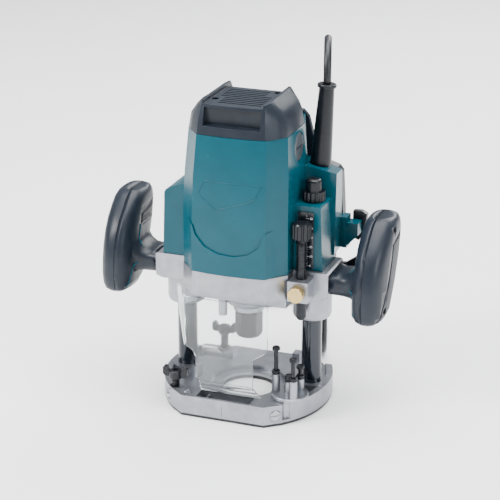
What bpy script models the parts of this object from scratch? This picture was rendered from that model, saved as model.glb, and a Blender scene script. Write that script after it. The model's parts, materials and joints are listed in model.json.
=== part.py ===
"""Large plunge router, as an assembly of separate named pieces.

Lengths in the code are millimetres and MM turns them into metres.  Z is up, X runs from the left
handle to the right handle, and -Y is the operator's side.  The origin lies under the bit, on the
surface that the sole stands on.  The head is shown at the top of its stroke.
"""

import math

import bmesh
import bpy
from mathutils import Vector

MM = 0.001
GAP = 0.3

# Base
SOLE_TOP = 2.7
BASE_BOTTOM = 3.0
BASE_FLOOR = 10.5
BASE_RIM = 22.0
BASE_HALF_WIDTH = 84.2
BASE_CURVE_DEPTH = 90.0
BASE_FLAT = 77.5
BASE_FACET = math.radians(47.0)
FACET_SCREW_HEIGHT = 11.6
RIM_WALL = 6.5
THROAT_RADIUS = 28.0
GUIDE_SEAT_RADIUS = 38.0
POCKET = ((-28.0, -74.6, 8.0), (27.5, -58.8, 24.0))
FRONT_ROD = (-56.0, -58.0)
REAR_ROD = (-46.0, 52.0)
ROD_HEIGHT = 11.3
ROD_RADIUS = 5.2

# Guide columns, their springs and the upper limit
COLUMN_X = 66.0
COLUMN_RADIUS = 10.0
COLUMN_BORE = 7.2
COLUMN_FOOT = 4.8
COLUMN_TOP = 134.0
COLUMN_CLEAR = 10.35
COLUMN_BOSS_TOP = 22.5
SPRING_RADIUS = 5.6
SPRING_TOP = 204.4
KNOB_SEAT = 211.2

# Turret and stopper pole
TURRET = (58.0, -43.3)
TURRET_RADIUS = 18.6
TURRET_TOP = 26.2
BOLT_CIRCLE = 14.0
BOLTS = (
    # number, bearing, top of its post, foot and top of the bolt
    ("1", 182.0, 44.2, 35.0, 73.0),
    ("2", 302.0, 44.2, 35.0, 68.4),
    ("3", 62.0, 36.5, 29.5, 51.0),
)
POLE = (64.6, -30.9)
POLE_RADIUS = 5.0
POLE_FOOT = 99.5

# Head
BRACKET_BOTTOM = 122.5
BRACKET_TOP = 146.4
SLEEVE_RADIUS = 19.4
HOUSING_BOTTOM = 146.7
HOUSING_TOP = 281.0
CAP_BOTTOM = 281.3
CAVITY_RADIUS = 43.5
SLEEVE_BOTTOM = 91.5
ARM_END = 89.4
BRUSH_HEIGHT = 263.0

# Handles
GRIP_X = 130.0
PARTING_X = 127.5
GRIP_STATIONS = (
    # height, front, rear, half width
    (103.6, -36.0, 1.0, 9.5),
    (106.5, -39.5, 7.0, 13.5),
    (112.0, -41.5, 13.0, 15.6),
    (122.0, -42.5, 19.0, 16.4),
    (137.0, -42.0, 29.0, 16.8),
    (150.0, -39.5, 36.0, 16.8),
    (163.0, -34.5, 41.0, 16.8),
    (175.0, -26.0, 43.5, 16.6),
    (185.0, -15.0, 44.0, 16.2),
    (191.5, -8.0, 43.0, 15.2),
    (195.5, -1.5, 40.5, 13.2),
    (197.6, 4.0, 36.0, 10.0),
)
PAD_EDGE = (
    (-42.0, 90.0),
    (-33.5, 109.0),
    (-24.5, 129.0),
    (-12.0, 149.0),
    (-5.0, 165.0),
    (-2.0, 176.0),
    (28.0, 183.5),
    (60.0, 188.0),
)
NECK_STATIONS = (
    # reach, half depth, bottom, top
    (ARM_END + GAP, 21.5, 122.5, 145.5),
    (97.0, 20.0, 122.0, 144.0),
    (104.0, 20.0, 121.5, 145.0),
    (110.0, 21.5, 120.5, 149.0),
    (114.5, 24.0, 118.0, 155.0),
    (121.0, 26.0, 114.0, 163.0),
)

# Cord
CORD_RADIUS = 3.75
GUARD_FOOT = (62.5, 32.0, 237.7)
GUARD_TOP = (67.0, 34.0, 318.0)
CORD_ROUTE = (
    (67.0, 34.0, 318.9),
    (67.0, 34.0, 325.0),
    (66.3, 36.3, 335.5),
    (64.5, 42.4, 345.2),
    (61.6, 51.8, 351.7),
    (58.2, 62.8, 354.0),
    (54.9, 73.7, 351.7),
    (52.1, 83.0, 345.2),
    (50.2, 89.2, 335.5),
    (49.5, 91.5, 324.0),
    (49.5, 91.5, 260.0),
    (49.5, 91.5, 190.0),
    (49.5, 91.5, 120.0),
    (49.5, 91.5, 60.0),
    (49.5, 91.5, 34.0),
    (48.9, 93.6, 22.4),
    (46.8, 99.9, 12.6),
    (43.8, 109.2, 6.2),
    (40.3, 120.0, 4.0),
    (33.0, 144.0, 4.0),
    (26.0, 168.0, 4.0),
    (17.0, 191.0, 4.0),
    (3.0, 212.0, 4.0),
    (-10.0, 229.0, 4.0),
    (-15.9, 244.0, 4.0),
)
COIL_CENTRE = (-71.5, 262.0)
COIL_RADIUS = 42.4
COIL_HALF_WIDTH = 11.6
COIL_HEIGHT = 23.0


# ---------------------------------------------------------------- materials


def material(name, colour, roughness, metallic=0.0, transmission=0.0):
    made = bpy.data.materials.new(name)
    made.use_nodes = True
    shader = made.node_tree.nodes["Principled BSDF"]
    shader.inputs["Base Color"].default_value = (*colour, 1.0)
    shader.inputs["Roughness"].default_value = roughness
    shader.inputs["Metallic"].default_value = metallic
    shader.inputs["Transmission Weight"].default_value = transmission
    return made


FINISHES = {
    "cast_aluminium": ((0.62, 0.64, 0.69), 0.5, 0.6),
    "sole_plastic": ((0.012, 0.013, 0.015), 0.5),
    "blued_steel": ((0.03, 0.036, 0.05), 0.22, 0.7),
    "black_plastic": ((0.016, 0.018, 0.022), 0.42),
    "black_oxide": ((0.03, 0.03, 0.035), 0.45, 0.8),
    "steel": ((0.42, 0.42, 0.43), 0.35, 1.0),
    "brass": ((0.86, 0.72, 0.42), 0.3, 1.0),
    "teal_plastic": ((0.008, 0.235, 0.315), 0.3),
    "slate_plastic": ((0.05, 0.062, 0.085), 0.42),
    "grip_rubber": ((0.03, 0.036, 0.046), 0.6),
    "clear_plastic": ((0.9, 0.93, 0.97), 0.06, 0.0, 0.9),
    "scale_print": ((0.02, 0.022, 0.03), 0.4),
    "grey_insert": ((0.2, 0.21, 0.22), 0.5),
    "spring_steel": ((0.3, 0.3, 0.32), 0.3, 1.0),
    "copper_winding": ((0.5, 0.22, 0.09), 0.4, 0.9),
    "carbon": ((0.02, 0.02, 0.02), 0.7),
    "cord_rubber": ((0.012, 0.013, 0.015), 0.5),
}
MATERIALS = {}


def paint(piece, finish):
    if finish not in MATERIALS:
        MATERIALS[finish] = material(finish, *FINISHES[finish])
    piece.data.materials.clear()
    piece.data.materials.append(MATERIALS[finish])


# ---------------------------------------------------------------- modelling tools


def turn_to(axis, a, b, c):
    """A point drawn in the plane (a, b) at height c, with that height along the named axis."""
    return {"Z": (a, b, c), "X": (c, a, b), "Y": (a, c, b)}[axis]


def skin(name, rings, loop=False):
    """A closed body through rings of equally many points; loop joins the last ring to the first."""
    bm = bmesh.new()
    rows = [[bm.verts.new(Vector(point) * MM) for point in ring] for ring in rings]
    pairs = list(zip(rows, rows[1:]))
    if loop:
        pairs.append((rows[-1], rows[0]))
    for low, high in pairs:
        for i in range(len(low)):
            j = (i + 1) % len(low)
            bm.faces.new((low[i], low[j], high[j], high[i]))
    if not loop:
        bm.faces.new(rows[0][::-1])
        bm.faces.new(rows[-1])
    bmesh.ops.recalc_face_normals(bm, faces=bm.faces)
    mesh = bpy.data.meshes.new(name)
    bm.to_mesh(mesh)
    bm.free()
    piece = bpy.data.objects.new(name, mesh)
    bpy.context.scene.collection.objects.link(piece)
    return piece


def prism(name, outline, low, high, axis="Z"):
    return skin(name, [[turn_to(axis, a, b, c) for a, b in outline] for c in (low, high)])


def box(name, low, high):
    corners = ((low[0], low[1]), (high[0], low[1]), (high[0], high[1]), (low[0], high[1]))
    return prism(name, corners, low[2], high[2])


def circle(radius, sides, centre=(0.0, 0.0), start=None):
    """Points round a circle; by default a flat faces each axis, so that bodies share no corner there."""
    step = 2 * math.pi / sides
    first = step / 2 if start is None else start
    angles = [first + i * step for i in range(sides)]
    return [(centre[0] + radius * math.cos(a), centre[1] + radius * math.sin(a)) for a in angles]


def drum(name, radius, low, high, centre=(0.0, 0.0), axis="Z", sides=24):
    return prism(name, circle(radius, sides, centre), low, high, axis)


def turned(name, profile, centre=(0.0, 0.0), axis="Z", sides=24, ring=False):
    """A lathe-turned body from (radius, height) pairs; a ring's profile is a closed loop."""
    rings = [
        [turn_to(axis, a, b, height) for a, b in circle(radius, sides, centre)]
        for radius, height in profile
    ]
    return skin(name, rings, loop=ring)


def combine(target, tools, operation):
    """Runs exact booleans of target with each tool, keeps the result and removes the tools."""
    for tool in tools:
        step = target.modifiers.new(operation, "BOOLEAN")
        step.operation = operation
        step.object = tool
    bpy.context.view_layer.update()
    graph = bpy.context.evaluated_depsgraph_get()
    mesh = bpy.data.meshes.new_from_object(target.evaluated_get(graph))
    bm = bmesh.new()
    bm.from_mesh(mesh)
    bmesh.ops.remove_doubles(bm, verts=bm.verts, dist=0.002 * MM)
    bmesh.ops.dissolve_degenerate(bm, edges=bm.edges, dist=0.002 * MM)
    bm.to_mesh(mesh)
    bm.free()
    target.modifiers.clear()
    target.data = mesh
    for tool in tools:
        bpy.data.objects.remove(tool)
    return target


def cut(target, *tools):
    return combine(target, tools, "DIFFERENCE")


def join(target, *tools):
    return combine(target, tools, "UNION")


def keep(target, *tools):
    return combine(target, tools, "INTERSECT")


def finish(piece, look, origin=(0.0, 0.0, 0.0)):
    """Gives a piece its material and moves its origin, on its joint's axis where it has one."""
    shift = Vector(origin) * MM
    bm = bmesh.new()
    bm.from_mesh(piece.data)
    bmesh.ops.triangulate(bm, faces=bm.faces, ngon_method="BEAUTY")
    bm.to_mesh(piece.data)
    bm.free()
    for vertex in piece.data.vertices:
        vertex.co -= shift
    piece.location = shift
    paint(piece, look)
    return piece


def mirrored(points):
    """The right half of an outline, from the front centre to the rear centre, with its left half."""
    left = [(-x, y) for x, y in reversed(points) if x > 0]
    return list(points) + left


# ---------------------------------------------------------------- base


def base_outline(inset=0.0):
    """An oval with flats at front and rear, and a straight facet beside each flat."""
    half, depth, flat = (size - inset for size in (BASE_HALF_WIDTH, BASE_CURVE_DEPTH, BASE_FLAT))
    corner = (half * math.cos(math.asin(flat / depth)), flat)
    steps = 15
    arc = [BASE_FACET * (2 * i / steps - 1) for i in range(steps + 1)]
    right = [(half * math.cos(angle), depth * math.sin(angle)) for angle in arc]
    right = [(corner[0], -corner[1])] + right + [corner]
    return right + [(-x, -y) for x, y in right]


def facet_screw_axis():
    """Where the clamp screw stands on the front right facet, and the facet's outward direction."""
    outline = base_outline()
    a, b = Vector(outline[0]), Vector(outline[1])
    along = (b - a).normalized()
    return a.lerp(b, 0.66), Vector((along.y, -along.x))


def slanted_drum(name, radius, start, end, height, sides=24):
    """A level drum from start to end, two points of the plan."""
    along = (end - start).normalized()
    side = Vector((-along.y, along.x))
    rings = []
    for point in (start, end):
        ring = []
        for a, b in circle(radius, sides):
            ring.append((point.x + side.x * a, point.y + side.y * a, height + b))
        rings.append(ring)
    return skin(name, rings)


def base_casting():
    base = prism("base_casting", base_outline(), BASE_BOTTOM, BASE_RIM)
    hollow = prism("tool", base_outline(RIM_WALL), BASE_FLOOR, 40)
    cut(hollow, box("tool", (-34, -90, 0), (58, -56.5, 50)))
    cut(base, hollow, box("tool", (-100, 42, BASE_FLOOR), (100, 100, 40)))
    tunnels = [
        slanted_drum("tool", 8.0, Vector((-90, y)), Vector((x + 12, y)), ROD_HEIGHT)
        for x, y in (FRONT_ROD, REAR_ROD)
    ]
    for tunnel in tunnels:
        keep(tunnel, prism("tool", base_outline(), BASE_BOTTOM + 1, 40))
    bosses = [drum("tool", 16.5, 9, COLUMN_BOSS_TOP, (side * COLUMN_X, 0)) for side in (-1, 1)]
    bosses += [drum("tool", 7.0, 9, ROD_HEIGHT + 8.2, place, sides=20) for place in (FRONT_ROD, REAR_ROD)]
    bosses += [drum("tool", 10.0, 9, BASE_RIM, TURRET), box("tool", (25, 62, 9), (33, 73, 18))]
    join(base, *tunnels, *bosses)
    middle, outward = facet_screw_axis()
    bores = [
        drum("tool", THROAT_RADIUS, 0, 40, sides=40),
        drum("tool", GUIDE_SEAT_RADIUS, 6, 40, sides=40),
        box("tool", *POCKET),
        drum("tool", 3.1, 10, 40, TURRET, sides=20),
        box("tool", (-0.6, -80, 5), (0.6, -77, 17)),
        drum("tool", 4.8, 5.5, 40, (62.3, -63.3), sides=20),
        slanted_drum("tool", 5.9, middle + outward * 5, middle - outward * 2.5, FACET_SCREW_HEIGHT),
        slanted_drum("tool", 3.2, middle + outward * 5, middle - outward * 9, FACET_SCREW_HEIGHT, sides=16),
    ]
    bores += [drum("tool", COLUMN_RADIUS + GAP, 4.5, 40, (side * COLUMN_X, 0)) for side in (-1, 1)]
    for x, y in (FRONT_ROD, REAR_ROD):
        bores.append(slanted_drum("tool", ROD_RADIUS, Vector((-95, y)), Vector((x + 8, y)), ROD_HEIGHT))
        bores.append(drum("tool", 3.3, ROD_HEIGHT, 40, (x, y), sides=20))
        bores.append(drum("tool", 6.2, ROD_HEIGHT + 8.2, 40, (x, y), sides=20))
    cut(base, *bores)
    join(base, box("tool", (-21, -75.5, 7), (-19.4, -58, 18)), box("tool", (-9, -75.5, 7), (2, -70, 12)))
    finish(base, "cast_aluminium")


def sole_plate():
    sole = prism("sole_plate", base_outline(0.6), 0, SOLE_TOP)
    cut(sole, drum("tool", THROAT_RADIUS - 1, -5, 10, sides=40))
    finish(sole, "sole_plastic")


def slot_across(x, y, low, high, reach=6.0, width=1.3):
    return box("tool", (x - reach, y - width / 2, low), (x + reach, y + width / 2, high))


def rod_clamp_screw():
    middle, outward = facet_screw_axis()
    z = FACET_SCREW_HEIGHT
    screw = slanted_drum("rod_clamp_screw", 5.6, middle + outward * 0.4, middle - outward * 2.2, z)
    join(screw, slanted_drum("tool", 2.9, middle - outward * 1, middle - outward * 8.6, z, sides=16))
    along = Vector((outward.y, -outward.x))
    slot = slanted_drum("tool", 1.0, middle + along * 9, middle - along * 9, z, sides=8)
    for vertex in slot.data.vertices:
        vertex.co += Vector((outward.x, outward.y, 0)) * MM * 0.8
    cut(screw, slot)
    finish(screw, "steel", (middle.x, middle.y, z))


def wing_screw(name, place, foot):
    """Thumb screw for a guide rod: threaded stud, round hub and two ears."""
    x, y = place
    boss = ROD_HEIGHT + 8.2 + GAP
    profile = [(2.2, ROD_HEIGHT + 5.4), (2.9, ROD_HEIGHT + 6.0), (2.9, boss), (4.0, boss)]
    coils = 3
    for i in range(coils):
        low = boss + (foot - boss) * (i + 0.5) / coils
        profile += [(4.0, low - 0.4), (3.4, low), (4.0, low + 0.4)]
    profile += [(4.0, foot), (6.0, foot), (6.8, foot + 1.2), (6.4, foot + 7.8), (5.6, foot + 8.6)]
    screw = turned(name, profile, place, sides=20)
    for side in (-1, 1):
        ear = [
            (4.6, 1.6), (11.0, 1.8), (12.9, 4.0), (12.9, 10.5),
            (11.3, 12.4), (8.8, 11.6), (7.2, 7.8), (4.6, 7.2),
        ]
        outline = [(x + side * a, foot + b) for a, b in ear]
        join(screw, prism("tool", outline, y - 2.4, y + 2.4, "Y"))
    cut(screw, drum("tool", 3.2, foot + 7.2, foot + 20, place, sides=16))
    finish(screw, "black_plastic", (x, y, 0))


def guide_column(name, x):
    tube = turned(
        name,
        [
            (COLUMN_BORE, COLUMN_FOOT),
            (COLUMN_RADIUS, COLUMN_FOOT),
            (COLUMN_RADIUS, COLUMN_TOP - 1),
            (COLUMN_RADIUS - 1, COLUMN_TOP),
            (COLUMN_BORE, COLUMN_TOP),
        ],
        (x, 0),
        ring=True,
    )
    finish(tube, "blued_steel", (x, 0, 0))


def return_spring(name, x):
    """Compression spring inside a column, with its foot on the base and its top under the head."""
    wire, turns, steps, foot = 0.9, 10, 6, 6.0
    rise = (SPRING_TOP - wire - foot) / (turns * steps)
    rings = []
    for i in range(turns * steps + 1):
        angle = 2 * math.pi * i / steps
        out = Vector((math.cos(angle), math.sin(angle), 0))
        middle = Vector((x, 0, foot + i * rise)) + out * SPRING_RADIUS
        rings.append([middle + out * a * wire + Vector((0, 0, b * wire)) for a, b in circle(1, 4)])
    finish(skin(name, rings), "spring_steel", (x, 0, 0))


def limit_rod():
    rod = turned(
        "upper_limit_rod",
        [(2.6, COLUMN_FOOT), (3.2, COLUMN_FOOT + 1), (3.2, 229), (2.6, 230)],
        (COLUMN_X, 0),
        sides=16,
    )
    finish(rod, "steel", (COLUMN_X, 0, 0))


def fluted(name, radius, depth, flutes, low, high, centre):
    """A drum whose side is cut by round flutes."""
    points = []
    for i in range(flutes * 4):
        angle = 2 * math.pi * i / (flutes * 4)
        points.append((radius - (depth if i % 4 in (0, 3) else 0), angle))
    outline = [(centre[0] + r * math.cos(a), centre[1] + r * math.sin(a)) for r, a in points]
    return prism(name, outline, low, high)


def limit_knob():
    place = (COLUMN_X, 0)
    foot = KNOB_SEAT + 0.4
    knob = fluted("upper_limit_knob", 11.4, 1.0, 16, foot, foot + 9.6, place)
    dome = [(7.9, foot + 8), (7.9, foot + 18.6), (7.3, foot + 20.4), (5.6, foot + 21.6), (3.0, foot + 22.0)]
    join(knob, turned("tool", dome, place))
    cut(knob, drum("tool", 3.5, foot - 5, 230.4, place, sides=16))
    finish(knob, "black_plastic", (COLUMN_X, 0, 0))


def around(centre, radius, degrees):
    angle = math.radians(degrees)
    return (centre[0] + radius * math.cos(angle), centre[1] + radius * math.sin(angle))


def turret():
    block = turned(
        "turret_block",
        [
            (TURRET_RADIUS - 1, 22.3),
            (TURRET_RADIUS, 23),
            (TURRET_RADIUS, 25.4),
            (TURRET_RADIUS - 0.8, TURRET_TOP),
        ],
        TURRET,
        sides=40,
    )
    posts = [drum("tool", 5.6, 24, 38.5, TURRET, sides=24)]
    bores = [drum("tool", 3.0, 10, 60, TURRET, sides=16)]
    for _, degrees, post_top, _, _ in BOLTS:
        place = around(TURRET, BOLT_CIRCLE, degrees)
        posts.append(drum("tool", 4.1, 24, post_top, place, sides=20))
        bores.append(drum("tool", 2.4, 23.6, 60, place, sides=12))
    join(block, *posts)
    cut(block, *bores)
    finish(block, "cast_aluminium", (*TURRET, 0))

    screw = turned(
        "turret_screw",
        [(2.2, 11.0), (2.7, 12.0), (2.7, 38.8), (5.2, 38.8), (5.2, 43.2), (4.4, 44.2)],
        TURRET,
        sides=24,
    )
    cut(screw, slot_across(*TURRET, 42.4, 48))
    finish(screw, "black_oxide", (*TURRET, 0))


def stop_bolts():
    for number, degrees, post_top, foot, top in BOLTS:
        x, y = around(TURRET, BOLT_CIRCLE, degrees)
        shank = [(1.6, foot), (2.1, foot + 0.6), (2.1, top - 4)]
        head = [(3.4, top - 4), (4.0, top - 3), (3.9, top - 1), (2.9, top)]
        bolt = turned("stop_bolt_" + number, shank + head, (x, y), sides=16)
        cut(
            bolt,
            slot_across(x, y, top - 1.3, top + 2, 2.3, 0.9),
            box("tool", (x - 0.45, y - 2.3, top - 1.3), (x + 0.45, y + 2.3, top + 2)),
        )
        finish(bolt, "black_oxide", (x, y, 0))
        nut = prism("stop_nut_" + number, circle(4.2, 6, (x, y)), post_top + GAP, post_top + 3.8)
        cut(nut, drum("tool", 2.4, 0, 90, (x, y), sides=12))
        finish(nut, "black_oxide", (x, y, 0))


def chip_deflector():
    """Clear guard: front panel, left return and a narrow tongue that leans back to its foot on the base."""
    back, front = -64.0, -65.8
    left, right = -28.0, 27.3
    panel = [
        (-42.5, 121.5), (42.5, 121.5), (42.5, 76.0), (40.0, 73.0), (right, 64.5), (right, 35.0),
        (left, 35.0), (-31.5, 38.0), (-31.5, 60.0), (-35.0, 66.0), (-42.5, 71.0),
    ]
    guard = prism("chip_deflector", panel, front, back, "Y")
    start, end = Vector((-42.5, -64.9)), Vector((-62.5, -34.0))
    along = (end - start).normalized()
    side = Vector((along.y, -along.x)) * 0.9
    corner = start - along * 0.4
    edge = [
        (corner, 70.0),
        (start + along * 8, 76.0),
        (start + along * 24, 95.0),
        (end, 121.5),
        (corner, 121.5),
    ]
    flank = [[(p.x + side.x * s, p.y + side.y * s, z) for p, z in edge] for s in (-1, 1)]
    stations = (
        (38.0, right, front, back),
        (34.0, right, front, back),
        (23.8, 33.0, -60.6, -58.6),
        (22.4, 33.5, -60.6, -55.5),
    )
    tongue = [[(left, y0, z), (x, y0, z), (x, y1, z), (left, y1, z)] for z, x, y0, y1 in stations]
    ribs = [
        box("tool", (left, front - 1.2, 33.6), (right + 0.2, back - 0.5, 35.4)),
        box("tool", (left, -64.4, 28.0), (right + 3.0, -62.0, 29.6)),
    ]
    join(guard, skin("tool", flank), skin("tool", tongue), *ribs)
    finish(guard, "clear_plastic")


# ---------------------------------------------------------------- head: bracket and pole


def head_outline(front, front_half, side_half, waist, rear, shoulder=1.0):
    """Plan of the motor housing at one level; front and sides are flat, the corners chamfered."""
    return mirrored(
        [
            (0.0, front - 3.0),
            (front_half * 0.55, front - 2.2),
            (front_half, front),
            ((front_half + side_half) / 2 + shoulder, front + 11.0),
            (side_half, front + 19.0),
            (side_half, waist),
            (side_half - 10.0, rear),
            (0.0, rear),
        ]
    )


def level(outline, z):
    return [(x, y, z) for x, y in outline]


def motor_bracket():
    lower = head_outline(-59.8, 37.0, 53.6, 30.0, 50.0)
    upper = head_outline(-58.6, 37.0, 53.6, 30.0, 50.0)
    bracket = skin("motor_bracket", [level(lower, BRACKET_BOTTOM), level(upper, BRACKET_TOP)])
    parts = [box("tool", (-50, -33, 109), (50, 33, 124))]
    nose = [(14.6, 89.5), (15.6, 90.5), (15.8, 95), (22, 98.5), (24, 104), (26, 124)]
    parts.append(turned("tool", nose, sides=40))
    parts.append(drum("tool", 4.4, 86, 112, (-22, -15), sides=16))
    sleeve = [
        (SLEEVE_RADIUS - 3.5, SLEEVE_BOTTOM),
        (SLEEVE_RADIUS - 1.2, SLEEVE_BOTTOM + 1.5),
        (SLEEVE_RADIUS, SLEEVE_BOTTOM + 5),
        (SLEEVE_RADIUS, BRACKET_TOP - 2),
    ]
    for side in (-1, 1):
        parts.append(turned("tool", sleeve, (side * COLUMN_X, 0), sides=32))
        arm = [
            (40, 122),
            (83, 120.5),
            (ARM_END, 123),
            (ARM_END, 145),
            (ARM_END - 2, BRACKET_TOP),
            (40, BRACKET_TOP),
        ]
        parts.append(prism("tool", [(side * x, z) for x, z in arm], -24.5, 24.5, "Y"))
    parts.append(box("tool", (54.5, -43.5, 121.3), (75.0, -14, 142)))
    join(bracket, *parts)
    bores = [
        drum("tool", CAVITY_RADIUS, 128, 160, sides=40),
        drum("tool", 12.0, 80, 140),
        drum("tool", 17.3, 99, 110.3, sides=32),
        drum("tool", POLE_RADIUS + 0.35, 100, 160, POLE, sides=24),
        drum("tool", 2.7, -50, -35, (POLE[0], 131.0), "Y", sides=16),
        drum("tool", 3.3, 24.6, 10, (78.0, 133.0), "Y", sides=16),
    ]
    bores += [drum("tool", COLUMN_CLEAR, 80, 160, (side * COLUMN_X, 0)) for side in (-1, 1)]
    cut(bracket, *bores)
    finish(bracket, "cast_aluminium")


def stopper_pole():
    """Black stopper pole, with a rack of shallow teeth and a taper under its knob."""
    profile = [(3.2, POLE_FOOT), (POLE_RADIUS, POLE_FOOT + 2.5)]
    teeth = 7
    for i in range(teeth):
        z = 150 + i * 3.6
        profile += [(POLE_RADIUS, z), (POLE_RADIUS - 0.5, z + 0.8), (POLE_RADIUS, z + 1.6)]
    profile += [(POLE_RADIUS, 178.5), (3.0, 178.6), (3.0, 194.0)]
    pole = turned("stopper_pole", profile, POLE, sides=16)
    finish(pole, "black_oxide", (*POLE, 0))
    knob = fluted("pole_knob", 9.2, 0.9, 14, 183, 197, POLE)
    under = turned("tool", [(5.4, 179.0), (8.6, 183.2)], POLE, sides=24)
    crown = turned("tool", [(8.6, 196.8), (7.6, 198.6)], POLE, sides=24)
    join(knob, under, crown)
    cut(knob, drum("tool", 3.2, 170, 194.3, POLE, sides=16))
    finish(knob, "black_plastic", (*POLE, 0))


def pole_clamp_screw():
    x, z = POLE[0], 131.0
    screw = turned(
        "pole_clamp_screw",
        [(7.4, -51.0), (7.9, -50.2), (7.9, -44.6), (7.3, -43.9), (2.4, -43.9), (2.4, -37.2), (1.8, -36.6)],
        (x, z),
        "Y",
        sides=32,
    )
    finish(screw, "brass", (x, 0, z))


# ---------------------------------------------------------------- head: motor


def motor_housing():
    plans = (
        (HOUSING_BOTTOM, head_outline(-57.6, 37.0, 53.4, 24.0, 52.0)),
        (196.0, head_outline(-58.0, 37.0, 53.4, 24.0, 52.0)),
        (240.0, head_outline(-55.0, 36.5, 52.5, 22.0, 52.0)),
        (HOUSING_TOP, head_outline(-50.0, 34.5, 50.0, 20.0, 51.0)),
    )
    housing = skin("motor_housing", [level(plan, z) for z, plan in plans])
    left_ear = [
        (-40, HOUSING_BOTTOM), (-81.5, HOUSING_BOTTOM), (-79.5, 210), (-78, 213),
        (-73, 216.5), (-62, 220), (-40, 221),
    ]
    right_ear = [
        (40, HOUSING_BOTTOM), (82, HOUSING_BOTTOM), (81.4, 160),
        (79.4, KNOB_SEAT - 1.5), (78, KNOB_SEAT), (40, KNOB_SEAT),
    ]
    ledge_front = [(46, 152), (83.5, 152), (84.6, 235.5), (46, 242)]
    ledge_rear = [(46, 152), (81.2, 152), (80.0, 230.0), (46, 240)]
    switch_box = [(82.2, 154), (88.4, 154), (99.6, 165.5), (99.6, 178), (82.2, 178)]
    parts = [
        prism("tool", left_ear, -23.5, 26, "Y"),
        prism("tool", right_ear, -19.6, 26, "Y"),
        skin("tool", [[(x, 13.5, z) for x, z in ledge_front], [(x, 46.6, z) for x, z in ledge_rear]]),
        box("tool", (74, 36, 152.6), (88.8, 46.5, 184.2)),
        box("tool", (82.2, 40, 152.6), (88.8, 50, 184.2)),
        prism("tool", switch_box, 38, 52, "Y"),
    ]
    join(housing, *parts)
    apron_plans = (
        (HOUSING_BOTTOM, head_outline(-59.2, 37.4, 50.0, 0.0, 20.0)),
        (200.0, head_outline(-59.6, 37.4, 50.0, 0.0, 20.0)),
    )
    smile = [
        (-46, 140), (-46, 199), (-36.5, 194), (-33, 184), (-24, 174), (-10, 168),
        (6, 167), (20, 170), (31, 178), (36.5, 192), (46, 196), (46, 140),
    ]
    apron = skin("tool", [level(plan, z) for z, plan in apron_plans])
    keep(apron, prism("tool", smile, -70, -20, "Y"))
    join(housing, apron)
    cut(
        housing,
        drum("tool", CAVITY_RADIUS, 140, 243, sides=40),
        drum("tool", 27.0, 240, 270.5, sides=32),
        drum("tool", 11.4, 265, 281 - 1.5),
        drum("tool", 7.0, 265, 290, sides=24),
        *[drum("tool", COLUMN_CLEAR + 0.6, 140, 205, (side * COLUMN_X, 0), sides=28) for side in (-1, 1)],
        drum("tool", 4.0, 200, 215, (COLUMN_X, 0), sides=20),
    )
    cut(housing, drum("tool", 2.6, 46.0, 60, (95.0, 172.0), "Y", sides=16))
    for side in (-1, 1):
        holder = drum("tool", 5.6, side * 24, side * 70, (0, BRUSH_HEIGHT), "X", sides=20)
        recess = drum("tool", 14.2, side * 47.0, side * 70, (0, BRUSH_HEIGHT), "X", sides=32)
        cut(housing, holder, recess)
    place = GUARD_FOOT[:2]
    seat = drum("tool", 11.6, GUARD_FOOT[2] - 1.1, 300, place)
    cut(housing, seat, drum("tool", 5.5, 228, 300, place, sides=20))
    finish(housing, "teal_plastic")


def brush_caps_and_brushes():
    for label, side in (("left", -1), ("right", 1)):
        profile = [(5.3, 31.0), (5.3, 47.3), (13.8, 47.3), (13.8, 50.2), (13.0, 51.0)]
        profile = [(radius, side * x) for radius, x in profile]
        cap = turned("brush_cap_" + label, profile, (0, BRUSH_HEIGHT), "X", sides=32)
        cut(cap, side_box(side, (49.6, -9, BRUSH_HEIGHT - 1.1), (55, 9, BRUSH_HEIGHT + 1.1)))
        finish(cap, "grey_insert", (side * 50, 0, BRUSH_HEIGHT))
        ends = sorted((side * 14.6, side * 30.7))
        brush = box("carbon_brush_" + label, (ends[0], -3, BRUSH_HEIGHT - 4), (ends[1], 3, BRUSH_HEIGHT + 4))
        finish(brush, "carbon", (side * 20, 0, BRUSH_HEIGHT))


def rear_cover():
    edge = [(80.5, 154.0), (81.4, 186.0), (79.0, 226.5), (75.0, 231.5), (62.0, 235.5), (53.8, 238.0)]
    hood = [(43.0, 278.0), (37.0, 284.5), (-37.0, 284.5), (-43.0, 278.0), (-50.0, 238.0), (-52.0, 225.0)]
    cover = prism("rear_cover", [(-52.0, 152.0), (79.0, 152.0)] + edge + hood, 52.3, 58.0, "Y")
    flange = [(53.8, 153.0)] + edge
    join(cover, prism("tool", flange, 46.9, 57.9, "Y"))
    grooves = [box("tool", (-30, 57, z), (30, 60, z + 2.4)) for z in range(176, 236, 8)]
    cut(cover, *grooves)
    finish(cover, "slate_plastic")


def cap_ring(front, front_half, side_half, waist, rear, rear_half, z):
    return level(
        mirrored(
            [
                (0.0, front - 2.5),
                (front_half * 0.55, front - 1.8),
                (front_half, front),
                ((front_half + side_half) / 2 + 1.5, front + 9.0),
                (side_half, front + 19.0),
                (side_half, waist),
                (rear_half, rear),
                (0.0, rear + 1.0),
            ]
        ),
        z,
    )


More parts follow.
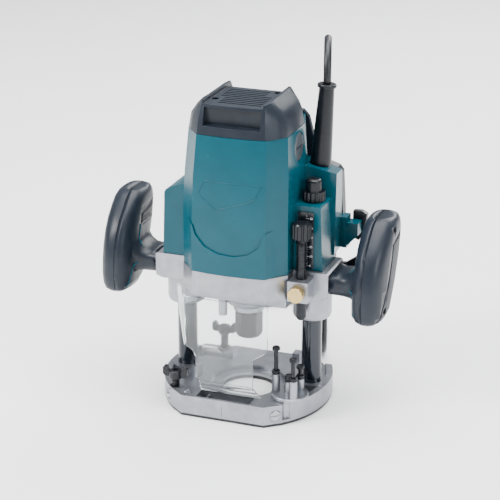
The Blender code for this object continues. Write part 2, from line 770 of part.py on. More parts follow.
def top_cap():
    cap = skin(
        "top_cap",
        [
            cap_ring(-50.0, 34.2, 49.8, 18.0, 48.0, 38.0, CAP_BOTTOM),
            cap_ring(-47.5, 33.0, 48.0, 17.0, 44.0, 36.0, 296.0),
            cap_ring(-44.5, 32.0, 42.5, 16.0, 36.0, 34.0, 305.0),
            cap_ring(-42.5, 31.3, 33.0, 20.0, 30.0, 31.8, 313.0),
        ],
    )
    inside = skin(
        "tool",
        [
            cap_ring(-36.8, 29.0, 44.0, 14.0, 42.0, 32.0, CAP_BOTTOM - 1),
            cap_ring(-36.2, 26.0, 37.0, 12.0, 34.0, 28.0, 304.5),
        ],
    )
    tray = box("tool", (-29.6, -60, 309.6), (29.6, 22, 320))
    ramp = prism("tool", [(22, 309.6), (60, 296), (60, 325), (22, 325)], -29.6, 29.6, "X")
    niche = box("tool", (-28.5, -60, 289.5), (28.5, -41.5, 306.8))
    cut(cap, inside, tray, ramp, niche)
    screws = ((-25.5, -23.0), (24.0, 15.0))
    join(cap, *[drum("tool", 5.6, 282.5, 309.0, place, sides=20) for place in screws])
    slots = []
    for i in range(9):
        y = -35.4 + i * 5.9
        left = -18.5 if i < 4 else -24.5
        right = 24.5 if i < 6 else 16.5
        slots.append(box("tool", (left, y, 300), (right, y + 2.6, 320)))
    cut(cap, *slots, *[drum("tool", 3.5, 286, 320, place, sides=14) for place in screws])
    finish(cap, "slate_plastic")
    for number, place in enumerate(screws, 1):
        screw = turned("cap_screw_%d" % number, [(3.2, 286.3), (3.2, 289.0), (2.2, 290.0)], place, sides=16)
        finish(screw, "black_oxide", (*place, 0))


def scale_plate():
    plate = box("depth_scale", (57.2, -20.9, 148.6), (73.0, -19.9, 205.6))
    cut(plate, box("tool", (50, -25, 140), (65.0, -15, 196)))
    finish(plate, "scale_print")


def sleeve(name, inner, outer, low, high, sides):
    return turned(name, [(inner, low), (outer, low), (outer, high), (inner, high)], ring=True, sides=sides)


def motor_inside():
    shaft = turned(
        "spindle_shaft",
        [
            (6.5, 110), (6.5, 93), (8.3, 92), (8.3, 70), (10.0, 70), (10.0, 112), (8.0, 113), (8.0, 160),
            (6.0, 161), (6.0, 278), (5.2, 279),
        ],
        sides=28,
    )
    finish(shaft, "steel")
    core = sleeve("armature_core", 6.3, 25.0, 186, 234, 32)
    finish(core, "copper_winding")
    commutator = sleeve("commutator", 6.3, 14.0, 252.5, 269, 24)
    finish(commutator, "copper_winding")
    stator = sleeve("stator", 26.5, 43.0, 184, 240, 40)
    finish(stator, "copper_winding")
    hub_and_disc = [
        (8.3, 131), (14, 131), (16, 133), (40, 133), (40, 135), (16, 136), (14, 145), (8.3, 145),
    ]
    fan = turned("cooling_fan", hub_and_disc, ring=True, sides=32)
    blades = []
    for i in range(9):
        blade = box("tool", (15, -1.0, 134), (38.5, 1.0, 144))
        blade.rotation_euler.z = 2 * math.pi * i / 9
        blades.append(blade)
    join(fan, *blades)
    finish(fan, "grey_insert")
    lower = sleeve("lower_bearing", 10.3, 17.0, 99.3, 110, 32)
    finish(lower, "steel")
    upper = sleeve("upper_bearing", 6.3, 11.1, 270.9, 277.6, 28)
    finish(upper, "steel")


def collet():
    cone = turned(
        "collet_cone",
        [(6.35, 66.2), (9.6, 66.2), (9.6, 68.2), (7.9, 69.6), (7.9, 91.4), (6.35, 91.4)],
        ring=True,
        sides=28,
    )
    finish(cone, "steel")
    nut = prism("collet_nut", circle(14.2, 6, start=math.radians(20)), 62.0, 89.0)
    rounding = turned("tool", [(11.6, 61.9), (13.8, 65.2), (13.8, 86.0), (12.5, 89.1)], sides=32)
    keep(nut, rounding)
    cut(nut, drum("tool", 7.2, 50, 100, sides=28), drum("tool", 10.3, 65.9, 100, sides=28))
    finish(nut, "black_oxide")


# ---------------------------------------------------------------- handles and switch


def squared_ring(sides, power):
    """A circle swollen towards its square; a power of 2 is the plain circle."""
    swollen = []
    for a, b in circle(1.0, sides):
        reach = (abs(a) ** power + abs(b) ** power) ** (-1 / power)
        swollen.append((a * reach, b * reach))
    return swollen


def grip_body(side):
    """The whole grip: a loaf whose foot stands forward and whose head leans back."""
    rings = []
    for z, front, rear, half_width in GRIP_STATIONS:
        middle, half_depth = (front + rear) / 2, (rear - front) / 2
        rings.append(
            [(side * (GRIP_X + a * half_width), middle + b * half_depth, z) for a, b in squared_ring(24, 2.8)]
        )
    return skin("tool", rings)


def grip_neck(side):
    rings = []
    for x, half_depth, low, high in NECK_STATIONS:
        middle, half_height = (low + high) / 2, (high - low) / 2
        ring = [(-1 + a * half_depth, middle + b * half_height) for a, b in squared_ring(20, 4.0)]
        rings.append([(side * x, y, z) for y, z in ring])
    return skin("tool", rings)


def pad_space(side, shift):
    """The rear part of a grip, as a cutter; shift moves its faces outwards to leave a gap."""
    outline = [(y - shift, z + shift) for y, z in PAD_EDGE] + [(90.0, 188.0 + shift), (90.0, 90.0)]
    space = prism("tool", outline, side * 90, side * 170, "X")
    return cut(space, side_box(side, (GRIP_X - 40, -60, 107 + shift), (PARTING_X - shift, 60, 167 - shift)))


def side_box(side, low, high):
    made = box("tool", low, high)
    if side < 0:
        for vertex in made.data.vertices:
            vertex.co.x *= -1
        made.data.flip_normals()
    return made


def handle(label, side):
    inner = join(grip_body(side), grip_neck(side))
    keep(inner, side_box(side, (60, -80, 60), (PARTING_X - 0.15, 80, 240)))
    cut(inner, pad_space(side, 0.15))
    inner.name = "handle_" + label + "_inner"
    outer = grip_body(side)
    keep(outer, side_box(side, (PARTING_X + 0.15, -80, 60), (200, 80, 240)))
    cut(outer, pad_space(side, 0.15))
    outer.name = "handle_" + label + "_outer"
    pad = keep(grip_body(side), pad_space(side, -0.15))
    pad.name = "handle_" + label + "_pad"
    for number, y, z, piece in (("upper", 7.0, 187.5, outer), ("lower", -22.5, 116.0, pad)):
        cut(piece, drum("tool", 3.5, side * (GRIP_X + 4), side * 170, (y, z), "X", sides=16))
        screw = turned(
            "handle_" + label + "_screw_" + number,
            [(3.1, side * (GRIP_X + 4.3)), (3.1, side * (GRIP_X + 7.0)), (2.0, side * (GRIP_X + 7.6))],
            (y, z),
            "X",
            sides=12,
        )
        finish(screw, "black_oxide", (side * GRIP_X, y, z))
    finish(inner, "slate_plastic")
    finish(outer, "slate_plastic")
    finish(pad, "grip_rubber")


def switch_lever():
    """Rocker behind the switch box, on a level pin that runs fore and aft."""
    outline = [
        (90.0, 186.0), (99.0, 186.6), (104.6, 183.5), (103.4, 174.0), (99.0, 160.0), (96.6, 155.6),
        (92.6, 157.0), (94.6, 168.0), (90.0, 176.0),
    ]
    lever = prism("switch_lever", outline, 52.6, 59.0, "Y")
    join(lever, drum("tool", 2.2, 47.0, 53.5, (95.0, 172.0), "Y", sides=16))
    finish(lever, "black_plastic", (95.0, 50.0, 172.0))


def lock_lever():
    """Plunge lock behind the right arm: hub on a short pin, and a finger blade rising to the right."""
    lever = turned(
        "plunge_lock_lever",
        [(2.8, 14.0), (2.8, 24.9), (8.0, 24.9), (8.0, 32.0), (7.0, 33.0)],
        (78.0, 133.0),
        "Y",
        sides=24,
    )
    blade = [
        (74.0, 128.0), (80.0, 126.0), (98.0, 132.0), (106.0, 142.0),
        (105.0, 148.0), (101.0, 147.5), (91.0, 140.5), (74.0, 139.0),
    ]
    join(lever, prism("tool", blade, 25.4, 31.5, "Y"))
    finish(lever, "black_plastic", (78.0, 0, 133.0))


# ---------------------------------------------------------------- cord


def cord_guard():
    foot, top = Vector(GUARD_FOOT), Vector(GUARD_TOP)
    along = (top - foot).normalized()
    across = along.orthogonal().normalized()
    over = along.cross(across)
    length = (top - foot).length
    rings = []
    profile = ((0, 10.2), (0.04, 10.4), (0.5, 9.0), (0.955, 7.4), (0.96, 9.4), (0.99, 9.4), (1, 8.8))
    for share, radius in profile:
        middle = foot + along * share * length
        rings.append([middle + (across * a + over * b) * radius for a, b in circle(1, 24)])
    guard = skin("cord_guard", rings)
    join(guard, drum("tool", 4.9, 229.0, 242, GUARD_FOOT[:2], sides=20))
    finish(guard, "black_plastic", GUARD_FOOT)


def power_cord():
    curve = bpy.data.curves.new("power_cord", "CURVE")
    curve.dimensions = "3D"
    spline = curve.splines.new("POLY")
    spline.points.add(len(CORD_ROUTE) - 1)
    for point, place in zip(spline.points, CORD_ROUTE):
        point.co = (*(Vector(place) * MM), 1.0)
    curve.bevel_depth = CORD_RADIUS * MM
    curve.bevel_resolution = 2
    curve.use_fill_caps = True
    cord = bpy.data.objects.new("power_cord", curve)
    bpy.context.scene.collection.objects.link(cord)
    paint(cord, "cord_rubber")


def cord_coil():
    low, high, inner, outer = 0.2, COIL_HEIGHT, COIL_RADIUS - COIL_HALF_WIDTH, COIL_RADIUS + COIL_HALF_WIDTH
    soft = 4.0
    profile = [
        (inner + soft, low), (outer - soft, low), (outer, low + soft), (outer, high - soft),
        (outer - soft, high), (inner + soft, high), (inner, high - soft), (inner, low + soft),
    ]
    finish(turned("cord_coil", profile, COIL_CENTRE, sides=40, ring=True), "cord_rubber")


def cord_plug():
    """Mains plug lying on the coil, with its strain relief and two round pins."""
    x, y = COIL_CENTRE
    x += COIL_RADIUS + 5
    z = COIL_HEIGHT + 0.3 + 9.5
    body = [(7.5, 22), (9.2, 18), (9.4, 2), (8.4, 0), (5.2, -1), (4.6, -14), (4.2, -15)]
    plug = turned("cord_plug", [(radius, y + along) for radius, along in body], (x, z), "Y", sides=24)
    pins = [drum("tool", 2.0, y + 20, y + 34, (x + shift, z), "Y", sides=12) for shift in (-4.5, 4.5)]
    join(plug, *pins)
    finish(plug, "cord_rubber")


# ---------------------------------------------------------------- assembly


def main():
    for old in list(bpy.data.objects):
        bpy.data.objects.remove(old)
    base_casting()
    sole_plate()
    rod_clamp_screw()
    wing_screw("front_wing_screw", FRONT_ROD, 30.0)
    wing_screw("rear_wing_screw", REAR_ROD, 35.0)
    for label, side in (("left", -1), ("right", 1)):
        guide_column("guide_column_" + label, side * COLUMN_X)
        return_spring("return_spring_" + label, side * COLUMN_X)
        handle(label, side)
    limit_rod()
    limit_knob()
    turret()
    stop_bolts()
    chip_deflector()
    motor_bracket()
    stopper_pole()
    pole_clamp_screw()
    motor_housing()
    brush_caps_and_brushes()
    rear_cover()
    top_cap()
    scale_plate()
    motor_inside()
    collet()
    switch_lever()
    lock_lever()
    cord_guard()
    power_cord()
    cord_coil()
    cord_plug()


main()
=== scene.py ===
"""Looks of the plunge router: finishes, rounded edges, scale marks, badge panel, grip trim and mains cord."""

import json
import math

import bpy
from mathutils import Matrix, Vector
from mathutils.bvhtree import BVHTree


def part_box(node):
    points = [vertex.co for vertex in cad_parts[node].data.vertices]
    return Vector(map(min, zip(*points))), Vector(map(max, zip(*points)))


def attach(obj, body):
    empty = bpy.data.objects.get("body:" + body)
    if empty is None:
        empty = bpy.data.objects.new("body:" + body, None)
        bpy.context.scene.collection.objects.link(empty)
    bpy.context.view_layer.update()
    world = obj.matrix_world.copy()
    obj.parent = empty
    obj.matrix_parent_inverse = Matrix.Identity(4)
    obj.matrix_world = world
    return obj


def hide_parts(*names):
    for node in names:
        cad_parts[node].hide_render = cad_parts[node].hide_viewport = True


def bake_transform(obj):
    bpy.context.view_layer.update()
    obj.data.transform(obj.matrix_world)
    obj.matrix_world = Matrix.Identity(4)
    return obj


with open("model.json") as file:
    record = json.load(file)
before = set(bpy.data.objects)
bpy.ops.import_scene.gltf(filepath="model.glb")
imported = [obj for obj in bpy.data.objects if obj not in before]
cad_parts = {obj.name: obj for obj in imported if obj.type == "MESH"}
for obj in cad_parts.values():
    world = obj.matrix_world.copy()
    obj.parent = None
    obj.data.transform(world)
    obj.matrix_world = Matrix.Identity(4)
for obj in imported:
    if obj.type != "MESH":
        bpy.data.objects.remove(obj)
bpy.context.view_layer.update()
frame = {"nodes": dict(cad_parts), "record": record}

MM = 0.001
UP = Vector((0, 0, 1))


# ---------------------------------------------------------------- camera, light and floor

CAMERA_AZIMUTH = math.radians(19.99)
CAMERA_ELEVATION = math.radians(20.69)
CAMERA_DISTANCE = 1.68737
CAMERA_TARGET = Vector((0.001, 0, 0.15167))
CAMERA_LENS = 123.51

WORLD_COLOUR = (0.93, 0.96, 1.0, 1)
WORLD_STRENGTH = 0.55
LAMP_AIM = Vector((0, 0, 0.15))
# Name, place, width in metres, power in watts and colour of each soft lamp.
LAMPS = (
    ("key", (-1.3, -1.2, 1.5), 0.6, 55, (1.0, 0.99, 0.97)),
    ("side", (1.7, -0.6, 0.9), 0.5, 16, (0.95, 0.98, 1.0)),
    ("rim", (0.3, 1.8, 1.2), 0.9, 22, (1, 1, 1)),
    ("overhead", (0.1, 0.1, 2.6), 2.6, 190, (1, 1, 1)),
)
FLOOR_REACH = 6


def camera():
    level = Vector((math.sin(CAMERA_AZIMUTH), -math.cos(CAMERA_AZIMUTH), 0))
    back = level * math.cos(CAMERA_ELEVATION) + UP * math.sin(CAMERA_ELEVATION)
    data = bpy.data.cameras.new("camera")
    data.lens = CAMERA_LENS
    holder = bpy.data.objects.new("camera", data)
    holder.location = CAMERA_TARGET + back * CAMERA_DISTANCE
    holder.rotation_euler = (-back).to_track_quat("-Z", "Y").to_euler()
    bpy.context.scene.collection.objects.link(holder)
    bpy.context.scene.camera = holder


def softbox(name, place, size, energy, colour):
    data = bpy.data.lights.new(name, "AREA")
    data.size = size
    data.energy = energy
    data.color = colour
    lamp = bpy.data.objects.new(name, data)
    lamp.location = place
    lamp.rotation_euler = (LAMP_AIM - lamp.location).to_track_quat("-Z", "Y").to_euler()
    bpy.context.scene.collection.objects.link(lamp)


def studio():
    world = bpy.data.worlds.new("studio")
    world.use_nodes = True
    background = world.node_tree.nodes["Background"]
    background.inputs["Color"].default_value = WORLD_COLOUR
    background.inputs["Strength"].default_value = WORLD_STRENGTH
    bpy.context.scene.world = world
    for lamp in LAMPS:
        softbox(*lamp)
    corners = [(x * FLOOR_REACH, y * FLOOR_REACH, 0) for x, y in ((-1, -1), (1, -1), (1, 1), (-1, 1))]
    floor = mesh_piece("floor", corners, [(0, 1, 2, 3)])
    floor.data.materials.append(patterned("floor", (0.96, 0.96, 0.96), (0.94, 0.94, 0.94), 0.4, (0.7, 0.8)))


# ---------------------------------------------------------------- meshes


def mesh_piece(name, points, faces, smooth=False):
    mesh = bpy.data.meshes.new(name)
    mesh.from_pydata(points, [], faces)
    mesh.polygons.foreach_set("use_smooth", [smooth] * len(faces))
    piece = bpy.data.objects.new(name, mesh)
    bpy.context.scene.collection.objects.link(piece)
    return piece


def tube(name, path, radius, sides=16, closed=False):
    """A round tube along a path of points, without twist."""
    path = [Vector(point) for point in path]
    count = len(path)
    across = None
    points = []
    for i, middle in enumerate(path):
        after = path[(i + 1) % count] if closed else path[min(i + 1, count - 1)]
        before = path[i - 1] if closed else path[max(i - 1, 0)]
        along = (after - before).normalized()
        across = along.orthogonal() if across is None else across - along * across.dot(along)
        across.normalize()
        over = along.cross(across)
        for k in range(sides):
            angle = 2 * math.pi * k / sides
            points.append(middle + (across * math.cos(angle) + over * math.sin(angle)) * radius)
    faces = []
    for i in range(count if closed else count - 1):
        for k in range(sides):
            a, b = i * sides, (i + 1) % count * sides
            faces.append((a + k, a + (k + 1) % sides, b + (k + 1) % sides, b + k))
    if not closed:
        faces.append(tuple(reversed(range(sides))))
        faces.append(tuple(range((count - 1) * sides, count * sides)))
    return mesh_piece(name, points, faces, smooth=True)


def block(points, faces, low, high):
    """Adds a box to a list of points and faces."""
    start = len(points)
    across, along, up = zip(low, high)
    points += [Vector((x, y, z)) for x in across for y in along for z in up]
    sides = ((0, 1, 3, 2), (4, 6, 7, 5), (0, 4, 5, 1), (2, 3, 7, 6), (0, 2, 6, 4), (1, 5, 7, 3))
    faces += [tuple(start + corner for corner in side) for side in sides]


# ---------------------------------------------------------------- materials


def patterned(name, colour, second, patch, roughness, metallic=0.0, grain=None, stretch=None, **sockets):
    """Two close colours and two roughnesses in patches of a size in metres, with a fine raised grain."""
    made = bpy.data.materials.new(name)
    made.use_nodes = True
    tree = made.node_tree
    shader = tree.nodes["Principled BSDF"]
    shader.inputs["Metallic"].default_value = metallic
    for socket, value in sockets.items():
        shader.inputs[socket.replace("_", " ")].default_value = value
    place = tree.nodes.new("ShaderNodeTexCoord").outputs["Object"]
    if stretch:
        scaled = tree.nodes.new("ShaderNodeMapping")
        scaled.inputs["Scale"].default_value = stretch
        tree.links.new(place, scaled.inputs["Vector"])
        place = scaled.outputs["Vector"]

    def noise(size, detail):
        texture = tree.nodes.new("ShaderNodeTexNoise")
        texture.inputs["Scale"].default_value = 1 / size
        texture.inputs["Detail"].default_value = detail
        tree.links.new(place, texture.inputs["Vector"])
        return texture.outputs["Fac"]

    patches = noise(patch, 4)
    ramp = tree.nodes.new("ShaderNodeValToRGB")
    ramp.color_ramp.elements[0].position = 0.35
    ramp.color_ramp.elements[0].color = (*colour, 1)
    ramp.color_ramp.elements[1].position = 0.68
    ramp.color_ramp.elements[1].color = (*second, 1)
    tree.links.new(patches, ramp.inputs["Fac"])
    tree.links.new(ramp.outputs["Color"], shader.inputs["Base Color"])
    spread = tree.nodes.new("ShaderNodeMapRange")
    spread.inputs["To Min"].default_value, spread.inputs["To Max"].default_value = roughness
    tree.links.new(noise(patch / 3, 3), spread.inputs["Value"])
    tree.links.new(spread.outputs["Result"], shader.inputs["Roughness"])
    if grain:
        size, height, strength = grain
        bump = tree.nodes.new("ShaderNodeBump")
        bump.inputs["Distance"].default_value = height
        bump.inputs["Strength"].default_value = strength
        tree.links.new(noise(size, 2), bump.inputs["Height"])
        tree.links.new(bump.outputs["Normal"], shader.inputs["Normal"])
    return made


# Sizes are in metres. Roughness runs from one value to the other. Grain is size, height and strength.
FINISHES = {
    "cast_aluminium": dict(
        colour=(0.27, 0.28, 0.31), second=(0.34, 0.35, 0.38), patch=0.012, roughness=(0.26, 0.40),
        metallic=0.85, grain=(0.0014, 0.0004, 0.22)),
    "sole_plastic": dict(
        colour=(0.006, 0.008, 0.012), second=(0.012, 0.014, 0.018), patch=0.01, roughness=(0.3, 0.45),
        grain=(0.0008, 0.0002, 0.15)),
    "blued_steel": dict(
        colour=(0.004, 0.007, 0.013), second=(0.008, 0.013, 0.022), patch=0.02, roughness=(0.10, 0.18),
        metallic=0.5, grain=(0.0006, 0.0001, 0.05), stretch=(1, 1, 0.1), Coat_Weight=0.4),
    "black_plastic": dict(
        colour=(0.0025, 0.0035, 0.006), second=(0.005, 0.0065, 0.010), patch=0.006, roughness=(0.26, 0.38),
        grain=(0.0006, 0.0002, 0.18), Specular_IOR_Level=0.35),
    "black_oxide": dict(
        colour=(0.006, 0.007, 0.010), second=(0.014, 0.016, 0.020), patch=0.004, roughness=(0.24, 0.42),
        metallic=0.5, grain=(0.0005, 0.0001, 0.12)),
    "steel": dict(
        colour=(0.30, 0.31, 0.33), second=(0.40, 0.41, 0.43), patch=0.004, roughness=(0.18, 0.32),
        metallic=1.0, grain=(0.0005, 0.0001, 0.1), stretch=(1, 1, 4)),
    "brass": dict(
        colour=(0.50, 0.36, 0.14), second=(0.62, 0.46, 0.20), patch=0.004, roughness=(0.16, 0.30),
        metallic=0.85, grain=(0.0005, 0.0001, 0.08)),
    "teal_plastic": dict(
        colour=(0.0, 0.058, 0.082), second=(0.0, 0.066, 0.094), patch=0.03, roughness=(0.20, 0.30),
        grain=(0.0012, 0.0001, 0.04), Specular_IOR_Level=0.25),
    "slate_plastic": dict(
        colour=(0.0085, 0.0125, 0.020), second=(0.0120, 0.0170, 0.026), patch=0.012, roughness=(0.32, 0.44),
        grain=(0.0008, 0.00025, 0.22), Specular_IOR_Level=0.3),
    "grip_rubber": dict(
        colour=(0.0065, 0.0095, 0.015), second=(0.0090, 0.0130, 0.020), patch=0.009, roughness=(0.42, 0.56),
        grain=(0.0006, 0.00025, 0.3), Specular_IOR_Level=0.25),
    "clear_plastic": dict(
        colour=(0.95, 0.97, 0.98), second=(0.90, 0.94, 0.96), patch=0.03, roughness=(0.03, 0.12),
        grain=(0.02, 0.0004, 0.15), Transmission_Weight=0.94, IOR=1.2),
    "scale_print": dict(
        colour=(0.004, 0.006, 0.010), second=(0.006, 0.009, 0.014), patch=0.006, roughness=(0.2, 0.34),
        grain=(0.0006, 0.0001, 0.08)),
    "grey_insert": dict(
        colour=(0.030, 0.038, 0.048), second=(0.040, 0.050, 0.062), patch=0.006, roughness=(0.3, 0.42),
        grain=(0.0006, 0.0002, 0.15)),
    "spring_steel": dict(
        colour=(0.20, 0.21, 0.23), second=(0.30, 0.31, 0.33), patch=0.004, roughness=(0.25, 0.4),
        metallic=1.0),
    "copper_winding": dict(
        colour=(0.30, 0.10, 0.03), second=(0.42, 0.17, 0.07), patch=0.002, roughness=(0.3, 0.5),
        metallic=0.8, grain=(0.0009, 0.0004, 0.5), stretch=(1, 1, 6)),
    "carbon": dict(
        colour=(0.008, 0.008, 0.008), second=(0.016, 0.016, 0.016), patch=0.001, roughness=(0.5, 0.7),
        grain=(0.0004, 0.0001, 0.2)),
    "cord_rubber": dict(
        colour=(0.003, 0.004, 0.006), second=(0.006, 0.007, 0.010), patch=0.01, roughness=(0.36, 0.5),
        grain=(0.0007, 0.0002, 0.2)),
}


def make_materials():
    """One finish for each material slot of the record."""
    return {name: patterned(name, **finish) for name, finish in FINISHES.items()}


# ---------------------------------------------------------------- cord

# The cord's measures are in millimetres: out of the guard, over and down to the floor, then into the coil.
CORD_DIAMETER = 7.5
GUARD_MOUTH = (67.0, 34.0, 318.3)
CORD_ROUTE = (
    GUARD_MOUTH,
    (67.0, 34.0, 325.0),
    (66.3, 36.3, 335.5),
    (64.5, 42.4, 345.2),
    (61.6, 51.8, 351.7),
    (58.2, 62.8, 354.0),
    (54.9, 73.7, 351.7),
    (52.1, 83.0, 345.2),
    (50.2, 89.2, 335.5),
    (49.5, 91.5, 324.0),
    (49.5, 91.5, 260.0),
    (49.5, 91.5, 190.0),
    (49.5, 91.5, 120.0),
    (49.5, 91.5, 60.0),
    (49.5, 91.5, 34.0),
    (48.9, 93.6, 22.4),
    (46.8, 99.9, 12.6),
    (43.8, 109.2, 6.2),
    (40.3, 120.0, 4.0),
    (33.0, 144.0, 4.0),
    (26.0, 168.0, 4.0),
    (17.0, 191.0, 4.0),
    (3.0, 212.0, 4.0),
    (-10.0, 229.0, 4.0),
    (-15.9, 244.0, 4.0),
)
COIL_CENTRE = Vector((-71.5, 262.0, 0))
TURN_RADII = (50.25, 42.4, 34.55)
LAYER_HEIGHTS = (3.95, 11.6, 19.25)
# In degrees round the coil: between points, to its end, and while the cord shifts to another turn.
COIL_STEP = 12
COIL_END = 2440
SHIFT_SPAN = 60
PLUG_TAIL = (-24.1, 246.7, 32.8)


def eased(share):
    share = min(max(share, 0), 1)
    return share * share * (3 - 2 * share)


def coil_turns():
    """Three turns inwards on the floor, back out on top of them, and one more above."""
    outer, middle, inner = TURN_RADII
    low, centre, high = LAYER_HEIGHTS
    shifts = [(300, outer, middle), (660, middle, inner), (1320, inner, middle), (1680, middle, outer),
              (2340, outer, middle)]
    climbs = [(960, low, centre), (1980, centre, high)]
    points = []
    for degrees in range(COIL_STEP, COIL_END + 1, COIL_STEP):
        radius, height = outer, low
        for start, before, after in shifts:
            radius += (after - before) * eased((degrees - start) / SHIFT_SPAN)
        for start, before, after in climbs:
            height += (after - before) * eased((degrees - start) / SHIFT_SPAN)
        angle = math.radians(degrees)
        points.append(COIL_CENTRE + Vector((radius * math.cos(angle), radius * math.sin(angle), height)))
    return points


def smooth_path(points, spacing):
    """A centripetal curve through the points, read at an even spacing."""
    points = [Vector(point) for point in points]
    ends = [points[0] * 2 - points[1]] + points + [points[-1] * 2 - points[-2]]
    fine = []
    for a, b, c, d in zip(ends, ends[1:], ends[2:], ends[3:]):
        knots = [0.0]
        for start, end in ((a, b), (b, c), (c, d)):
            knots.append(knots[-1] + max((end - start).length, 1e-6) ** 0.5)
        k0, k1, k2, k3 = knots
        steps = max(2, int((c - b).length / spacing) + 1)
        for i in range(steps):
            t = k1 + (k2 - k1) * i / steps
            ab = a.lerp(b, (t - k0) / (k1 - k0))
            bc = b.lerp(c, (t - k1) / (k2 - k1))
            cd = c.lerp(d, (t - k2) / (k3 - k2))
            abc = ab.lerp(bc, (t - k0) / (k2 - k0))
            bcd = bc.lerp(cd, (t - k1) / (k3 - k1))
            fine.append(abc.lerp(bcd, (t - k1) / (k2 - k1)))
    return fine + [points[-1]]


def plug_lead():
    """The last stretch, which rises from the coil into the tail of the plug."""
    return [(-43.0, 229.5, 25.0), (-31.0, 236.5, 30.2), PLUG_TAIL]


def mains_cord(finishes):
    route = list(CORD_ROUTE) + coil_turns() + plug_lead()
    path = [point * MM for point in smooth_path(route, spacing=2.5)]
    cord = tube("mains_cord", path, CORD_DIAMETER / 2 * MM, sides=20)
    cord.data.materials.append(finishes["cord_rubber"])
    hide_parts("power_cord", "cord_coil")
    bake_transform(cord)


# ---------------------------------------------------------------- CAD nodes: finish and rounded edges

# Radius of the rounded edges, in millimetres.
EDGE_ROUNDING = {
    "base_casting": 0.8, "motor_bracket": 1.0, "turret_block": 0.5, "motor_housing": 1.1, "top_cap": 1.0,
    "rear_cover": 0.8, "front_wing_screw": 0.6, "rear_wing_screw": 0.6, "upper_limit_knob": 0.4,
    "pole_knob": 0.4, "pole_clamp_screw": 0.3, "chip_deflector": 0.25, "switch_lever": 0.6,
    "plunge_lock_lever": 0.8, "sole_plate": 0.4, "collet_nut": 0.4, "cord_guard": 0.4, "cord_plug": 0.6,
}
WELD_DISTANCE = 0.00001
FLAT_ANGLE = math.radians(1)
ROUNDED_ANGLE = math.radians(33)


def dress(node, piece, finishes, slots):
    piece.data.materials.clear()
    piece.data.materials.append(finishes[slots[node]])
    for face in piece.data.polygons:
        face.use_smooth = True
    weld = piece.modifiers.new("weld", "WELD")
    weld.merge_threshold = WELD_DISTANCE
    if node in EDGE_ROUNDING:
        flat = piece.modifiers.new("flat", "DECIMATE")
        flat.decimate_type = "DISSOLVE"
        flat.angle_limit = FLAT_ANGLE
        rounding = piece.modifiers.new("rounding", "BEVEL")
        rounding.width = EDGE_ROUNDING[node] * MM
        rounding.segments = 2
        rounding.limit_method = "ANGLE"
        rounding.angle_limit = ROUNDED_ANGLE
        rounding.use_clamp_overlap = True
    normals = piece.modifiers.new("normals", "WEIGHTED_NORMAL")
    normals.weight = 50


def dress_nodes(finishes):
    slots = {part["node"]: part["material_slot"] for part in frame["record"]["subparts"]}
    for node, piece in frame["nodes"].items():
        dress(node, piece, finishes, slots)


# ---------------------------------------------------------------- printed scale

NUMERAL_SIZE = 3.0 * MM
NUMERAL_HEIGHT = 0.04 * MM
LINE_PITCH = 2.4 * MM
LINE_HALF_WIDTH = 0.16 * MM
LONG_LINE = 3.0 * MM
SHORT_LINE = 1.7 * MM
LINES_PER_NUMERAL = 4


def numeral(text, place, size):
    """A raised numeral that faces the front."""
    data = bpy.data.curves.new("numeral", "FONT")
    data.body = text
    data.size = size
    data.extrude = NUMERAL_HEIGHT
    data.align_x, data.align_y = "LEFT", "CENTER"
    source = bpy.data.objects.new("numeral", data)
    bpy.context.scene.collection.objects.link(source)
    bpy.context.view_layer.update()
    mesh = bpy.data.meshes.new_from_object(source.evaluated_get(bpy.context.evaluated_depsgraph_get()))
    bpy.data.objects.remove(source)
    for vertex in mesh.vertices:
        x, y, z = vertex.co
        vertex.co = Vector(place) + Vector((x, -z, y))
    return mesh


def depth_marks(finishes):
    """White lines and numerals on the dark scale plate beside the stopper pole."""
    low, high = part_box("depth_scale")
    face = low.y - 0.03 * MM
    white = patterned("scale_marks", (0.78, 0.80, 0.82), (0.70, 0.72, 0.75), 0.004, (0.4, 0.5))
    points, faces = [], []
    left = high.x - 7.6 * MM
    first = low.z + 3 * MM
    count = int((high.z - low.z - 4 * MM) / LINE_PITCH)
    for i in range(count):
        z = first + i * LINE_PITCH
        reach = LONG_LINE if i % LINES_PER_NUMERAL == 0 else SHORT_LINE
        near = (left, face - 0.03 * MM, z - LINE_HALF_WIDTH)
        far = (left + reach, low.y + 0.02 * MM, z + LINE_HALF_WIDTH)
        block(points, faces, near, far)
    marks = mesh_piece("scale_lines", points, faces)
    marks.data.materials.append(white)
    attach(marks, "head")
    for i in range(0, count, LINES_PER_NUMERAL):
        place = (left + 3.6 * MM, face, first + i * LINE_PITCH)
        text = str(i // LINES_PER_NUMERAL * 10)
        digits = bpy.data.objects.new("scale_numeral_%d" % i, numeral(text, place, NUMERAL_SIZE))
        bpy.context.scene.collection.objects.link(digits)
        digits.data.materials.append(white)
        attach(digits, "head")


# ---------------------------------------------------------------- lines moulded on the surfaces


def surface(*nodes):
    """The joined surface of some nodes, for finding places on it."""
    points, faces = [], []
    for node in nodes:
        mesh = frame["nodes"][node].data
        start = len(points)
        points += [vertex.co.copy() for vertex in mesh.vertices]
        faces += [tuple(start + corner for corner in face.vertices) for face in mesh.polygons]
    return BVHTree.FromPolygons(points, faces)


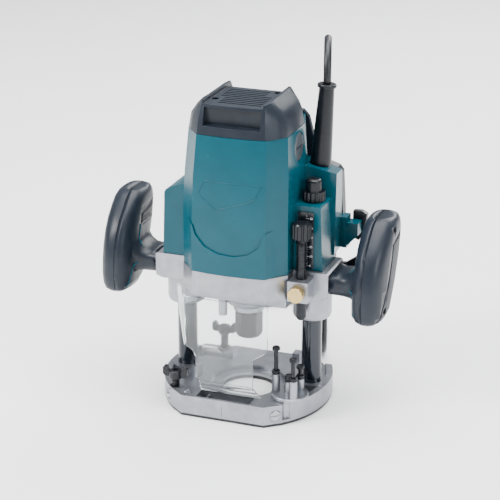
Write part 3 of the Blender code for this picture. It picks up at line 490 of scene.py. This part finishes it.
def laid_line(tree, outline, origin, direction, step=0.0008):
    """Points of an outline, thrown along a direction onto a surface."""
    path = []
    for start, end in zip(outline, outline[1:]):
        count = max(1, int((end - start).length / step))
        for i in range(count):
            place = start.lerp(end, i / count) + origin
            hit = tree.ray_cast(place, direction)[0]
            if hit:
                path.append(hit)
    return path


BADGE_BEAD = 0.45 * MM
TRIM_BEAD = 0.8 * MM
IN_FRONT = Vector((0, -0.1, 0))


def badge_panel(finishes):
    """Blank badge panel on the front of the housing: a shallow V under a flat top, in a fine raised bead."""
    tree = surface("motor_housing")
    left, right, top, side, foot = -30.5, 33.0, 238.5, 225.0, 211.0
    outline = [(left + 6, top), (left, side), (-12.0, foot), (20.0, side - 3.5), (27.0, side + 1.5),
               (right, top), (left + 6, top)]
    points = [Vector((x, 0, z)) * MM for x, z in outline]
    path = laid_line(tree, points, IN_FRONT, Vector((0, 1, 0)))
    bead = tube("badge_panel", path, BADGE_BEAD, sides=8, closed=True)
    bead.data.materials.append(finishes["teal_plastic"])
    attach(bead, "head")


# The pad's edge in y and z, seen along x, in millimetres.
PAD_EDGE = (
    (-33.5, 109.0),
    (-24.5, 129.0),
    (-12.0, 149.0),
    (-5.0, 165.0),
    (-2.0, 176.0),
    (28.0, 183.5),
    (43.5, 185.6),
)
GRIP_INNER_FACE = 0.108


def grip_trim(finishes):
    """Teal line along the edge of each soft pad, on both faces of the grip."""
    for label, side in (("left", -1), ("right", 1)):
        names = ["handle_" + label + "_" + part for part in ("inner", "outer", "pad")]
        tree = surface(*names)
        for face, reach, heading in (("inner", 70, 1), ("outer", 170, -1)):
            points = [Vector((0, y, z)) * MM for y, z in PAD_EDGE]
            origin = Vector((side * reach * MM, 0, 0))
            path = laid_line(tree, points, origin, Vector((side * heading, 0, 0)))
            if face == "inner":
                path = [point for point in path if abs(point.x) > GRIP_INNER_FACE]
            line = tube("grip_trim_" + label + "_" + face, path, TRIM_BEAD, sides=8)
            line.data.materials.append(finishes["teal_plastic"])
            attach(line, "head")


def main():
    finishes = make_materials()
    camera()
    mains_cord(finishes)
    studio()
    dress_nodes(finishes)
    depth_marks(finishes)
    badge_panel(finishes)
    grip_trim(finishes)


main()
